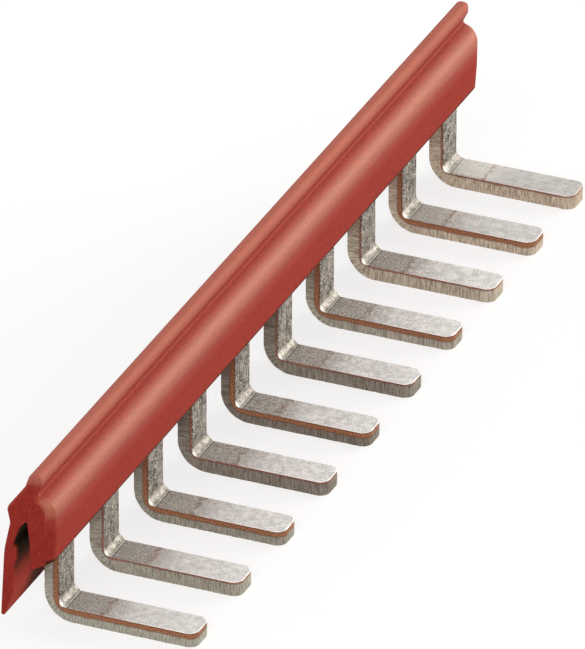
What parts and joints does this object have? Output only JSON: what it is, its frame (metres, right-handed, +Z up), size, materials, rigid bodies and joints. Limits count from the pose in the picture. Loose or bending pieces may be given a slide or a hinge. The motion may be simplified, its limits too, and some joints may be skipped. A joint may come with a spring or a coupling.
{
  "type": "bus bar connector",
  "caption": "Insertion bridge for a row of terminal blocks: a folded, tinned copper comb of flat prongs in a red insulating clip profile.",
  "frame": {"origin": "under the middle of the bounding box, in the plane of the prongs' underside", "axes": "+X along the prongs towards their tips, +Y along the row of prongs, +Z up from the prongs to the bead on the clip profile"},
  "size_m": [0.01, 0.062, 0.0113],
  "materials": {
    "tinned_copper": "dull tin plate on copper, bare copper at the cut edges",
    "red_plastic": "satin moulded red"
  },
  "bodies": {
    "root": {"busbar_comb": "tinned_copper", "insulating_profile": "red_plastic"}
  },
  "joints": []
}
